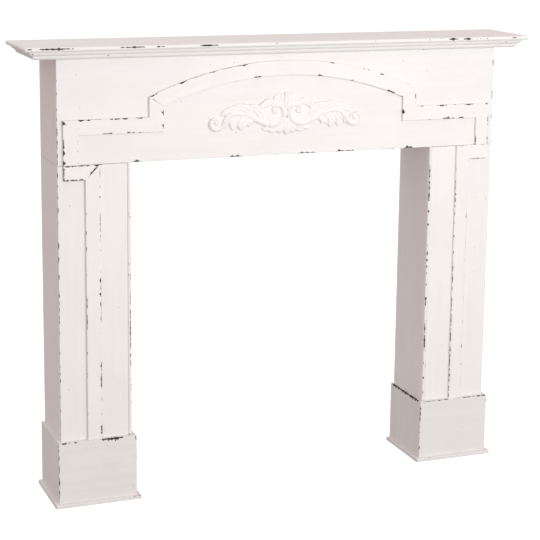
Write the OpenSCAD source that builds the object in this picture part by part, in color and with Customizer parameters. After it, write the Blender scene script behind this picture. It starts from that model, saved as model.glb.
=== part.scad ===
// Wooden fireplace mantelpiece: two hollow panelled legs on plinths, an open-backed
// header box with raised mitred strips, a carved scroll and a stepped shelf.
// X runs right, Y runs back to the wall and Z runs up from the floor.
// The origin lies on the floor, in the middle of the overall width and depth.

/* [Body] */
// Outside width of the legs and the header
body_w = 1046; // [900:1:1400]
// Depth of the legs and the header, front face to wall
body_d = 152; // [110:1:260]
// Height of the legs, floor to the underside of the header
leg_h = 764; // [560:1:1000]
// Height of the header, its underside to the cornice board
header_h = 228; // [185:1:320]
// Thickness of the front boards
front_t = 15; // [10:0.5:24]
// Thickness of the side boards and the header's bottom board
side_t = 12; // [8:0.5:20]

/* [Legs] */
// Width of each leg across its front
leg_w = 162; // [120:1:230]
// Width of the round bead at the opening's edge
bead_w = 8; // [5:0.5:14]
// How far the bead stands proud of the leg's front
bead_proud = 2.5; // [1:0.1:4]

/* [Plinths] */
// Height of the plinth's top above the floor
plinth_top = 147.5; // [90:0.5:220]
// Thickness of the plinth's front board
plinth_front_t = 11; // [6:0.5:20]
// Thickness of the plinth's side boards
plinth_side_t = 8; // [5:0.5:16]
// Thickness of the base plate on the floor
base_t = 8; // [5:0.5:16]
// How far the base plate stands out from the plinth
base_step = 9; // [4:0.5:20]

/* [Raised strips] */
// Width of every raised strip
strip_w = 33; // [20:0.5:45]
// Thickness of every raised strip
strip_t = 6; // [3:0.5:12]
// Plain margin between the body's side and the strips
strip_inset = 12; // [4:0.5:24]
// Distance from a leg's outer side to its long strip
long_strip_x = 60; // [40:0.5:80]
// Top edge of the level strip above the header's underside
run_top = 98; // [60:0.5:130]
// Distance from the header's side to the short rising strip
riser_x = 203; // [130:1:260]
// Where the arched strip's lower edge starts above the header's underside
spring_h = 120; // [100:0.5:140]
// Margin between the arched strip's crown and the cornice board
crown_margin = 15.5; // [4:0.5:20]

/* [Shelf] */
// Overhang of the shelf at each side of the body
shelf_side = 74; // [40:1:120]
// Overhang of the shelf at the front of the body
shelf_front = 33; // [26:1:80]
// Height of the shelf's rounded nose
nose_h = 9.5; // [6:0.5:16]
// Height of the second moulding, under the nose
second_h = 9.5; // [6:0.5:16]
// How far the second moulding stands back from the nose
second_back = 12; // [6:0.5:14]
// Corner radius of the second moulding
second_r = 8; // [3:0.5:9]
// Thickness of the cornice board under the shelf
cornice_t = 9; // [6:0.5:20]
// How far the cornice board stands back from the nose
cornice_back = 21; // [16:0.5:24]
// Corner radius of the cornice board
cornice_r = 7.5; // [3:0.5:8]

/* [Carving] */
// Width of the carved scroll
carving_w = 366; // [260:1:420]
// Height of the carved scroll
carving_h = 97; // [70:1:110]
// Greatest height of the carving above the header's face
carving_t = 9; // [5:0.5:14]
// Gap between the arched strip's crown and the carving's top
carving_gap = 37; // [10:1:50]

/* [Hidden] */
$fn = 64;
// Far enough beyond any face for a clean cut
over = 1;
shelf_t = nose_h + second_h;
header_top = leg_h + header_h;
cornice_top = header_top + cornice_t;
body_x = body_w / 2;
opening_x = body_x - leg_w;
front_y = shelf_front - (body_d + shelf_front) / 2;
back_y = front_y + body_d;
// The arched strip: half its lower chord, the rise and the radii of its two edges
arch_x = body_x - riser_x - strip_w;
crown_z = header_top - crown_margin - strip_w;
spring_z = leg_h + spring_h;
arch_rise = crown_z - spring_z;
arch_in_r = (arch_x * arch_x + arch_rise * arch_rise) / (2 * arch_rise);
arch_out_r = arch_in_r + strip_w;
arch_centre_z = crown_z - arch_in_r;
shoulder_z = arch_centre_z + sqrt(arch_out_r * arch_out_r - pow(arch_x + strip_w, 2));
carving_z = crown_z - carving_gap - carving_h / 2;

// The carving is drawn 366 wide and 97 high, then set to its own size
drawn_w = 366;
drawn_h = 97;
drawn_t = 9;
section_steps = 5;
leaf_rings = 8;
scroll_rings = 24;
// Rising and hanging leaves right of the middle: four curve points, half width, height
LEAVES = [
    [[5, 12], [7, 23], [10, 33], [14, 44], 8, 7],
    [[12, 12], [16, 22], [22, 31], [31, 37], 8.5, 6.5],
    [[24, 14], [34, 25], [42, 29], [54, 25], 8.5, 6.5],
    [[38, 22], [54, 26], [64, 16], [62, 1], 8, 7.5],
    [[31, 4], [40, 11], [49, 6], [54, -8], 7, 5.5],
    [[45, -20], [56, -17], [61, -8], [59, 3], 6, 5.5],
    [[56, -18], [60, 4], [72, 18], [95, 16], 11, 7.5],
    [[80, -8], [88, 8], [102, 21], [126, 17], 11, 7],
    [[101, 1], [118, 14], [138, 14], [154, 0], 9.5, 6.5],
    [[72, -8], [84, -9], [92, -17], [86, -27], 8, 5.5],
    [[88, -3], [106, -5], [114, -20], [104, -34], 10, 7],
    [[107, 2], [126, -4], [133, -18], [124, -33], 9, 6.5],
    [[121, 4], [138, -2], [147, -12], [143, -28], 7.5, 5.5],
    [[6, -15], [9, -27], [13, -35], [19, -43], 8.5, 7],
    [[14, -17], [20, -31], [28, -37], [42, -39], 8, 6],
    [[26, -25], [36, -31], [45, -35], [58, -34], 6, 5],
];
// The middle leaves, one up and one down
MIDDLE_LEAVES = [
    [[0, 8], [0, 22], [0, 36], [0, 48.3], 9, 9],
    [[0, -10], [0, -24], [0, -37], [0, -48.3], 8.5, 8],
];
// Stems: four curve points, half width at each end, height
STEMS = [
    [[26, -27], [52, -27], [72, -10], [92, -2], 5.5, 6, 6.5],
    [[90, -3], [118, 8], [136, 0], [147, -18], 6, 5, 7],
    [[145, -13], [148, -24], [156, -31], [168, -31], 4.8, 4.5, 7],
];
// Scrolls: centre, inner and outer radius, first and last angle, half widths, height
SCROLLS = [
    [[26, 6], 5, 34, -60, 296, 3, 7, 8.5],
    [[168, -15], 4, 16, 610, 265, 2.5, 4.6, 7.5],
];
// Round buttons in the eyes of the scrolls, and the low swellings that the leaves lie on:
// centre, radius and height
BUTTONS = [
    [[26, 6], 7, 9],
    [[168, -15], 5.5, 8.5],
    [[32, -3], 29, 5],
    [[14, 26], 20, 5],
    [[14, -31], 15, 4],
    [[78, 4], 19, 4.5],
    [[105, 4], 18, 4.5],
    [[128, 1], 16, 4],
    [[100, -14], 15, 4],
    [[124, -13], 15, 4],
    [[168, -17], 14, 4.5],
];

// Colours of the worn white paint, the greyer foot and the shaded sides
module paint() color([0.93, 0.92, 0.90]) children();
module foot_paint() color([0.88, 0.86, 0.84]) children();
module side_paint() color([0.86, 0.84, 0.82]) children();

// Everything is drawn with the body's front face on Y = 0, then set into the frame
module placed() translate([0, front_y, 0]) children();

// Left pieces are drawn as they stand, right pieces are their mirror images
module on_side(side) mirror([side == "right" ? 1 : 0, 0, 0]) placed() children();

module box(low, high) translate(low) cube(high - low);

// ---- Shelf and cornice ----

// Section of a board's edge that ends at x = reach, with its lower corner rounded
module ovolo(reach, height, radius) {
    square_to(reach - radius, height);
    translate([0, radius]) square_to(reach, height - radius);
    translate([reach - radius, radius]) intersection() {
        circle(radius);
        translate([0, -radius]) square(radius);
    }
}

// Section of a board's edge with a half-round nose that ends at x = reach
module bullnose(reach, height) {
    square_to(reach - height / 2, height);
    translate([reach - height / 2, height / 2]) circle(height / 2);
}

module square_to(reach, height) square([reach, height]);

// Runs the section given as a child round a board's front and both sides:
// child 0 is the half section at the sides, child 1 the section at the front
module edged_board(half_w, base_z) {
    translate([0, 0, base_z]) intersection() {
        translate([0, body_d, 0]) rotate([90, 0, 0])
            linear_extrude(body_d + shelf_front + over) union() {
                children(0);
                mirror([1, 0]) children(0);
            }
        translate([half_w + over, body_d, 0]) rotate([90, 0, -90])
            linear_extrude(2 * half_w + 2 * over) children(1);
    }
}

module shelf_section(reach) {
    translate([0, second_h]) bullnose(reach, nose_h);
    ovolo(reach - second_back, second_h, second_r);
}

module shelf_board() paint() placed()
    edged_board(body_x + shelf_side, cornice_top) {
        shelf_section(body_x + shelf_side);
        shelf_section(body_d + shelf_front);
    }

module cornice_board() paint() placed()
    edged_board(body_x + shelf_side, header_top) {
        ovolo(body_x + shelf_side - cornice_back, cornice_t, cornice_r);
        ovolo(body_d + shelf_front - cornice_back, cornice_t, cornice_r);
    }

// ---- Header ----

module header_front() paint() placed()
    box([-body_x, 0, leg_h], [body_x, front_t, header_top]);

module header_side(side) side_paint() on_side(side)
    box([-body_x, front_t, leg_h], [side_t - body_x, body_d, header_top]);

module header_bottom() side_paint() placed()
    box([side_t - body_x, front_t, leg_h], [body_x - side_t, body_d, leg_h + side_t]);

// A strip's outline in X and Z, planted on the front face
module strip(outline) rotate([90, 0, 0]) linear_extrude(strip_t) polygon(outline);

upright_out = strip_inset - body_x;
upright_in = upright_out + strip_w;
run_top_z = leg_h + run_top;
run_low_z = run_top_z - strip_w;
riser_out = riser_x - body_x;
riser_in = riser_out + strip_w;

module upright_strip(side) paint() on_side(side)
    strip([[upright_out, leg_h], [upright_in, leg_h], [upright_in, run_low_z],
        [upright_out, run_top_z]]);

module level_strip(side) paint() on_side(side)
    strip([[upright_in, run_low_z], [riser_in, run_low_z], [riser_out, run_top_z],
        [upright_out, run_top_z]]);

module riser_strip(side) paint() on_side(side)
    strip([[riser_in, run_low_z], [riser_in, spring_z], [riser_out, shoulder_z],
        [riser_out, run_top_z]]);

// The arched strip is a ring cut off along the two mitres at its springing,
// each mitre line drawn half a strip's width past both edges of the ring
mitre_half = [riser_out - riser_in, shoulder_z - spring_z] / 2;
mitre_in = [riser_in, spring_z] - mitre_half;
mitre_out = [riser_out, shoulder_z] + mitre_half;
module arch_strip() paint() placed() rotate([90, 0, 0]) linear_extrude(strip_t)
    intersection() {
        translate([0, arch_centre_z]) difference() {
            circle(arch_out_r, $fn = 400);
            circle(arch_in_r, $fn = 400);
        }
        polygon([mitre_out, mitre_in, [-mitre_in[0], mitre_in[1]],
            [-mitre_out[0], mitre_out[1]], [-mitre_out[0], header_top],
            [mitre_out[0], header_top]]);
    }

// ---- Legs ----

// The front board is narrower above the plinth, where the bead stands beside it
module leg_front(side) paint() on_side(side) {
    box([-body_x, 0, base_t], [-opening_x, front_t, plinth_top]);
    box([-body_x, 0, plinth_top - over], [-opening_x - bead_w, front_t, leg_h]);
}

module leg_outer(side) side_paint() on_side(side)
    box([-body_x, front_t, base_t], [side_t - body_x, body_d, leg_h]);

module leg_inner(side) side_paint() on_side(side)
    box([-opening_x - side_t, front_t, base_t], [-opening_x, body_d, leg_h]);

module bead(side) paint() on_side(side) {
    bead_y = bead_w / 2 - bead_proud;
    translate([-opening_x - bead_w / 2, bead_y, plinth_top])
        cylinder(h = leg_h - plinth_top, r = bead_w / 2);
    box([-opening_x - bead_w, bead_y, plinth_top], [-opening_x, front_t, leg_h]);
}

long_out = long_strip_x - body_x;
long_in = long_out + strip_w;

module cap_strip(side) paint() on_side(side)
    strip([[upright_out, leg_h - strip_w], [long_out, leg_h - strip_w], [long_in, leg_h],
        [upright_out, leg_h]]);

module long_strip(side) paint() on_side(side)
    strip([[long_out, plinth_top], [long_in, plinth_top], [long_in, leg_h],
        [long_out, leg_h - strip_w]]);

// ---- Plinths ----

plinth_out = -body_x - plinth_side_t;
plinth_in = plinth_side_t - opening_x;

module plinth_front(side) foot_paint() on_side(side)
    box([plinth_out, -plinth_front_t, base_t], [plinth_in, 0, plinth_top]);

module plinth_outer(side) foot_paint() on_side(side)
    box([plinth_out, 0, base_t], [-body_x, body_d, plinth_top]);

module plinth_inner(side) foot_paint() on_side(side)
    box([-opening_x, 0, base_t], [plinth_in, body_d, plinth_top]);

module base_plate(side) foot_paint() on_side(side)
    box([plinth_out - base_step, -plinth_front_t - base_step, 0],
        [plinth_in + base_step, body_d, base_t]);

// ---- Carving ----

// Point on a cubic curve with the control points c, at t from 0 to 1
function on_curve(c, t) =
    pow(1 - t, 3) * c[0] + 3 * pow(1 - t, 2) * t * c[1]
    + 3 * (1 - t) * pow(t, 2) * c[2] + pow(t, 3) * c[3];

function curve(c, n) = [for (i = [0 : n]) on_curve(c, i / n)];

// A spiral whose radius grows by the same share with every degree
function spiral(centre, r0, r1, a0, a1, n) = [
    for (i = [0 : n])
        let (t = i / n, a = a0 + (a1 - a0) * t, r = r0 * pow(r1 / r0, t))
        centre + r * [cos(a), sin(a)]
];

// Width along a leaf: blunt at the root, full in the middle, narrow at the tip
function leaf_share(t) = pow(sin(180 * (0.13 + 0.862 * t)), 0.4);

function unit(v) = v / norm(v);

// Direction across a path at its point i
function across(path, i) =
    let (d = unit(path[min(i + 1, len(path) - 1)] - path[max(i - 1, 0)])) [-d[1], d[0]];

// A bar with a flat back and a rounded front, swept along a path of [x, z] points
module bar(path, half_widths, heights) {
    per_ring = section_steps + 1;
    last = len(path) - 1;
    points = [
        for (i = [0 : last]) for (j = [0 : section_steps])
            let (a = 180 * j / section_steps,
                p = path[i] + across(path, i) * half_widths[i] * cos(a))
            [p[0] * carving_w / drawn_w, -heights[i] * sin(a) * carving_t / drawn_t,
                p[1] * carving_h / drawn_h]
    ];
    walls = [
        for (i = [0 : last - 1]) for (j = [0 : section_steps])
            let (k = (j + 1) % per_ring, a = i * per_ring, b = a + per_ring)
            [a + j, b + j, b + k, a + k]
    ];
    start = [for (j = [0 : section_steps]) j];
    end = [for (j = [section_steps : -1 : 0]) last * per_ring + j];
    polyhedron(points, concat([start], walls, [end]), convexity = 4);
}

module leaf(l) {
    path = curve([l[0], l[1], l[2], l[3]], leaf_rings);
    share = [for (i = [0 : leaf_rings]) leaf_share(i / leaf_rings)];
    bar(path, l[4] * share, l[5] * share);
}

module stem(s) {
    path = curve([s[0], s[1], s[2], s[3]], leaf_rings);
    bar(path, [for (i = [0 : leaf_rings]) s[4] + (s[5] - s[4]) * i / leaf_rings],
        [for (i = [0 : leaf_rings]) s[6]]);
}

module scroll(s) {
    path = spiral(s[0], s[1], s[2], s[3], s[4], scroll_rings);
    bar(path, [for (i = [0 : scroll_rings]) s[5] + (s[6] - s[5]) * i / scroll_rings],
        [for (i = [0 : scroll_rings]) s[7]]);
}

// A low dome, swept from one side of its circle to the other
module button(b) {
    path = [for (i = [0 : leaf_rings]) b[0] + [-b[1] * cos(180 * i / leaf_rings), 0]];
    share = [for (i = [0 : leaf_rings]) max(0.05, sin(180 * i / leaf_rings))];
    bar(path, b[1] * share, b[2] * share);
}

module carving_half() {
    for (l = LEAVES) leaf(l);
    for (s = STEMS) stem(s);
    for (s = SCROLLS) scroll(s);
    for (b = BUTTONS) button(b);
}

module carving() paint() placed() translate([0, 0, carving_z]) {
    carving_half();
    mirror([1, 0, 0]) carving_half();
    for (l = MIDDLE_LEAVES) leaf(l);
}

shelf_board();
cornice_board();
header_front();
header_side("left");  // header_side_left
header_side("right");  // header_side_right
header_bottom();
upright_strip("left");  // upright_strip_left
upright_strip("right");  // upright_strip_right
level_strip("left");  // level_strip_left
level_strip("right");  // level_strip_right
riser_strip("left");  // riser_strip_left
riser_strip("right");  // riser_strip_right
arch_strip();
carving();
leg_front("left");  // leg_front_left
leg_front("right");  // leg_front_right
leg_outer("left");  // leg_outer_left
leg_outer("right");  // leg_outer_right
leg_inner("left");  // leg_inner_left
leg_inner("right");  // leg_inner_right
bead("left");  // bead_left
bead("right");  // bead_right
cap_strip("left");  // cap_strip_left
cap_strip("right");  // cap_strip_right
long_strip("left");  // long_strip_left
long_strip("right");  // long_strip_right
plinth_front("left");  // plinth_front_left
plinth_front("right");  // plinth_front_right
plinth_outer("left");  // plinth_outer_left
plinth_outer("right");  // plinth_outer_right
plinth_inner("left");  // plinth_inner_left
plinth_inner("right");  // plinth_inner_right
base_plate("left");  // base_plate_left
base_plate("right");  // base_plate_right
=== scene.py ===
"""Looks of the fireplace mantelpiece: worn white paint on boards, strips, shelf and carving.

Every visible piece is a finer mesh on the place of its CAD node. The tables and the shapes are in
millimetres. The finished meshes, the lights and the camera are in metres.
"""
import math

import bpy
import numpy as np
from mathutils import Matrix, Vector


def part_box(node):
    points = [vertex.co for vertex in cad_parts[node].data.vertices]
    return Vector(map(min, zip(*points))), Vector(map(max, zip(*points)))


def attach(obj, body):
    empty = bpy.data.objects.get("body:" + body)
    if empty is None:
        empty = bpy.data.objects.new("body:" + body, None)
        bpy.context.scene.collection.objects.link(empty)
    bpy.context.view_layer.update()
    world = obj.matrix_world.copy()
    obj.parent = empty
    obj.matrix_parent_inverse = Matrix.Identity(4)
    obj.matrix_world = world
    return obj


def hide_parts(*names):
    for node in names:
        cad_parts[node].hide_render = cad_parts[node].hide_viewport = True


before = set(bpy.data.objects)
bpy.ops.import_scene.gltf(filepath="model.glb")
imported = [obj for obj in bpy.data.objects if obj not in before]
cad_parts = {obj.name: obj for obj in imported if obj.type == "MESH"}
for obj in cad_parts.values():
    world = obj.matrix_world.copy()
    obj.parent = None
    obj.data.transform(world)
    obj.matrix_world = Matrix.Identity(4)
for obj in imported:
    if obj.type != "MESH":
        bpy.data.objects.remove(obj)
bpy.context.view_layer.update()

MM = 0.001
BODY = "root"

# ---- Camera ----

CAMERA_PLACE = (-1.321, -3.334, 1.348)
CAMERA_YAW, CAMERA_DOWN, CAMERA_ROLL = 21.43, 11.03, 0.69
CAMERA_LENS, CAMERA_SENSOR = 106.2, 36
CAMERA_SHIFT = -0.13
CAMERA_CLIP = (0.1, 100)


def add_camera():
    yaw, down, roll = (math.radians(a) for a in (CAMERA_YAW, CAMERA_DOWN, CAMERA_ROLL))
    forward = math.cos(down)
    ahead = Vector((math.sin(yaw) * forward, math.cos(yaw) * forward, -math.sin(down)))
    level = Vector((math.cos(yaw), -math.sin(yaw), 0))
    upward = level.cross(ahead)
    right = level * math.cos(roll) + upward * math.sin(roll)
    top = upward * math.cos(roll) - level * math.sin(roll)
    data = bpy.data.cameras.new("camera")
    data.lens, data.sensor_width, data.shift_y = CAMERA_LENS, CAMERA_SENSOR, CAMERA_SHIFT
    data.clip_start, data.clip_end = CAMERA_CLIP
    camera = bpy.data.objects.new("camera", data)
    turn = Matrix((right, top, -ahead)).transposed().to_4x4()
    camera.matrix_world = Matrix.Translation(CAMERA_PLACE) @ turn
    bpy.context.collection.objects.link(camera)
    bpy.context.scene.camera = camera


# ---- Light and floor ----

# Softboxes: name, place, the point it faces, width and height, power, colour
SOFTBOXES = [
    ("key", (0.85, -2.6, 1.5), (0, 0, 1.9), (0.9, 0.9), 33.5, (0.87, 0.985, 1)),
    ("fill", (0.1, -3.0, 0.35), (0, 0, 1.9), (2, 0.8), 16, (1, 0.99, 0.98)),
    ("top", (-1.0, 0.5, 3.0), (-0.3, 0, 1), (1.6, 1.6), 7.5, (0.62, 1, 0.96)),
]
# The room's own light on the object, and the white that the camera sees behind it
ROOM_LIGHT = (0.80, 0.69, 0.685, 1)
WHITE = (1, 1, 1, 1)
FLOOR_REACH = 20
FLOOR_COLOUR = (0.50, 0.495, 0.49, 1)
FLOOR_ROUGHNESS = 0.9
# The floor's glow for the camera alone, which makes it as white as the room
FLOOR_GLOW = 0.76


def add_softbox(name, place, target, size, power, colour):
    data = bpy.data.lights.new(name, "AREA")
    data.shape, data.size, data.size_y = "RECTANGLE", size[0], size[1]
    data.energy, data.color = power, colour
    lamp = bpy.data.objects.new(name, data)
    lamp.location = place
    aim = Vector(target) - Vector(place)
    lamp.rotation_euler = aim.to_track_quat("-Z", "Y").to_euler()
    lamp.visible_camera = False
    bpy.context.collection.objects.link(lamp)


def add_light():
    for softbox in SOFTBOXES:
        add_softbox(*softbox)
    world = bpy.data.worlds.new("studio")
    world.use_nodes = True
    tree = world.node_tree
    tint = node(tree, "ShaderNodeMix", data_type="RGBA")
    link(tree, node(tree, "ShaderNodeLightPath").outputs["Is Camera Ray"], tint.inputs["Factor"])
    tint.inputs["A"].default_value = ROOM_LIGHT
    tint.inputs["B"].default_value = WHITE
    link(tree, tint.outputs["Result"], tree.nodes["Background"].inputs["Color"])
    bpy.context.scene.world = world
    bpy.context.scene.view_settings.view_transform = "Standard"


def add_floor():
    reach = FLOOR_REACH
    mesh = bpy.data.meshes.new("floor")
    corners = [(-reach, -reach, 0), (reach, -reach, 0), (reach, reach, 0), (-reach, reach, 0)]
    mesh.from_pydata(corners, [], [(0, 1, 2, 3)])
    floor = bpy.data.objects.new("floor", mesh)
    bpy.context.collection.objects.link(floor)
    material, tree, shader = new_material("floor")
    shader.inputs["Base Color"].default_value = FLOOR_COLOUR
    shader.inputs["Roughness"].default_value = FLOOR_ROUGHNESS
    shader.inputs["Emission Color"].default_value = WHITE
    seen = node(tree, "ShaderNodeLightPath").outputs["Is Camera Ray"]
    link(tree, math_of(tree, "MULTIPLY", seen, FLOOR_GLOW), shader.inputs["Emission Strength"])
    mesh.materials.append(material)


# ---- Materials ----

# Paints, by slot: two colours, and the share of spots where the paint has come off
PAINTS = {
    "front_paint": ((0.835, 0.82, 0.80), (0.805, 0.79, 0.77), 0.20),
    "strip_paint": ((0.84, 0.825, 0.805), (0.81, 0.795, 0.775), 0.15),
    # Painted shade: the sides' paint is a little darker than the front's, for faces turned from
    # the light and undersides
    "side_paint": ((0.82, 0.80, 0.785), (0.79, 0.77, 0.75), 0.10),
    # Painted shade: the plinths' paint is darker, for the light falling off towards the floor;
    # their many bare spots are wear
    "foot_paint": ((0.785, 0.776, 0.758), (0.748, 0.739, 0.72), 0.40),
    "carving_paint": ((0.86, 0.845, 0.83), (0.84, 0.825, 0.81), 0.0),
}
# The material made for each of them
PAINTED = {}
# Colours and roughness where the paint is worn
THIN_PAINT = (0.52, 0.47, 0.43)
DARK_WOOD, PALE_WOOD = (0.022, 0.018, 0.016), (0.085, 0.068, 0.058)
PAINT_ROUGHNESS, WOOD_ROUGHNESS = 0.52, 0.85
# How finely each stretched pattern is drawn, along a board and across it
STREAK_SCALE = (3.5, 75, 75)
HAIR_SCALE = (14, 520, 520)
DUST_SCALE = (1, 2.2, 2.2)
GRAIN_SCALE = (60, 700, 700)
# How finely the even patterns are drawn
CLOUD_SCALE, DUST_FINENESS, GRIT_SCALE = 7, 11, 850
SPECK_SCALE, SPECK_EDGE_SCALE = 17, 420
# How much darker dust is than the paint's second colour, and how clearly a speck shows
DUST_SHADE, SPECK_STRENGTH = 0.93, 0.75
# How high the brush marks stand and how deep the bare wood lies, as shares of the bump
HAIR_HEIGHT, STREAK_HEIGHT, BARE_DEPTH = 0.11, 0.3, 1.2
BUMP_STRENGTH, BUMP_REACH = 0.4, 0.35 * MM


def node(tree, kind, **settings):
    made = tree.nodes.new(kind)
    for key, value in settings.items():
        setattr(made, key, value)
    return made


def link(tree, output, socket):
    tree.links.new(output, socket)


def new_material(name):
    material = bpy.data.materials.new(name)
    material.use_nodes = True
    tree = material.node_tree
    return material, tree, tree.nodes["Principled BSDF"]


def attribute(tree, name, output):
    return node(tree, "ShaderNodeAttribute", attribute_name=name).outputs[output]


def scaled(tree, vector, scale):
    """The vector with each part times its own scale."""
    made = node(tree, "ShaderNodeVectorMath", operation="MULTIPLY")
    link(tree, vector, made.inputs[0])
    made.inputs[1].default_value = scale
    return made.outputs[0]


def noise(tree, vector, scale, detail, roughness=0.55):
    made = node(tree, "ShaderNodeTexNoise")
    link(tree, vector, made.inputs["Vector"])
    made.inputs["Scale"].default_value = scale
    made.inputs["Detail"].default_value = detail
    made.inputs["Roughness"].default_value = roughness
    return made.outputs["Fac"]


def ramp(tree, value, low, high, to_low=0.0, to_high=1.0):
    """The value's span from low to high, spread smoothly from to_low to to_high."""
    made = node(tree, "ShaderNodeMapRange", interpolation_type="SMOOTHSTEP")
    link(tree, value, made.inputs["Value"])
    ends = {"From Min": low, "From Max": high, "To Min": to_low, "To Max": to_high}
    for key, number in ends.items():
        made.inputs[key].default_value = number
    return made.outputs["Result"]


def math_of(tree, operation, first, second):
    made = node(tree, "ShaderNodeMath", operation=operation)
    for socket, value in zip(made.inputs, (first, second)):
        if isinstance(value, (int, float)):
            socket.default_value = value
        else:
            link(tree, value, socket)
    return made.outputs[0]


def times(tree, first, second):
    return math_of(tree, "MULTIPLY", first, second)


def plus(tree, first, second):
    return math_of(tree, "ADD", first, second)


def blend_of(tree, factor, first, second):
    made = node(tree, "ShaderNodeMix", data_type="RGBA")
    link(tree, factor, made.inputs["Factor"])
    for key, value in (("A", first), ("B", second)):
        if isinstance(value, tuple):
            made.inputs[key].default_value = (*value, 1)
        else:
            link(tree, value, made.inputs[key])
    return made.outputs["Result"]


def brushed_paint(tree, board, streaks, light, shade):
    """The paint's colour: brush streaks and clouds between two tones, and dusty patches."""
    clouds = noise(tree, board, CLOUD_SCALE, 4, 0.6)
    tone = plus(tree, times(tree, streaks, 0.45), times(tree, clouds, 0.55))
    paint = blend_of(tree, ramp(tree, tone, 0.36, 0.64), shade, light)
    patches = noise(tree, scaled(tree, board, DUST_SCALE), DUST_FINENESS, 5, 0.65)
    dusty = ramp(tree, patches, 0.52, 0.76, 0, 0.30)
    return blend_of(tree, dusty, paint, tuple(DUST_SHADE * part for part in shade))


def specks(tree, board, share):
    """Small spots without paint, in a share of the cells that the board is divided into."""
    cells = node(tree, "ShaderNodeTexVoronoi", voronoi_dimensions="2D")
    link(tree, board, cells.inputs["Vector"])
    cells.inputs["Scale"].default_value = SPECK_SCALE
    drawn = node(tree, "ShaderNodeSeparateColor")
    link(tree, cells.outputs["Color"], drawn.inputs[0])
    chosen = math_of(tree, "LESS_THAN", drawn.outputs[0], share)
    uneven = times(tree, noise(tree, board, SPECK_EDGE_SCALE, 2), 0.030)
    near = ramp(tree, plus(tree, cells.outputs["Distance"], uneven), 0.024, 0.036, 1, 0)
    return times(tree, times(tree, near, chosen), SPECK_STRENGTH)


def brush_bump(tree, board, streaks, bare):
    """The bump of brush marks, with the bare wood a paint's thickness lower."""
    hairs = noise(tree, scaled(tree, board, HAIR_SCALE), 1, 2)
    height = plus(tree, times(tree, hairs, HAIR_HEIGHT), times(tree, streaks, STREAK_HEIGHT))
    height = math_of(tree, "SUBTRACT", height, times(tree, bare, BARE_DEPTH))
    bump = node(tree, "ShaderNodeBump")
    bump.inputs["Strength"].default_value = BUMP_STRENGTH
    bump.inputs["Distance"].default_value = BUMP_REACH
    link(tree, height, bump.inputs["Height"])
    return bump.outputs["Normal"]


def painted_wood(name, light, shade, speck_share):
    """Brushed white paint over dark wood, worn through where a mesh's "worn" says so.

    The "board" vector runs along each board, so that the brush marks do too.
    """
    material, tree, shader = new_material(name)
    board, worn = attribute(tree, "board", "Vector"), attribute(tree, "worn", "Fac")
    streaks = noise(tree, scaled(tree, board, STREAK_SCALE), 1, 4)
    paint = brushed_paint(tree, board, streaks, light, shade)
    # Thin paint just outside each worn place, then the bare wood itself
    grit = math_of(tree, "SUBTRACT", noise(tree, board, GRIT_SCALE, 3), 0.5)
    edge = plus(tree, worn, times(tree, grit, 0.5))
    paint = blend_of(tree, ramp(tree, edge, 0.10, 0.42, 0, 0.40), paint, THIN_PAINT)
    bare = ramp(tree, edge, 0.40, 0.54)
    bare = math_of(tree, "MAXIMUM", bare, specks(tree, board, speck_share))
    grain = ramp(tree, noise(tree, scaled(tree, board, GRAIN_SCALE), 1, 3), 0.35, 0.65)
    wood = blend_of(tree, grain, DARK_WOOD, PALE_WOOD)
    link(tree, blend_of(tree, bare, paint, wood), shader.inputs["Base Color"])
    roughness = ramp(tree, bare, 0, 1, PAINT_ROUGHNESS, WOOD_ROUGHNESS)
    link(tree, roughness, shader.inputs["Roughness"])
    link(tree, brush_bump(tree, board, streaks, bare), shader.inputs["Normal"])
    return material


# ---- Worn places ----

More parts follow.
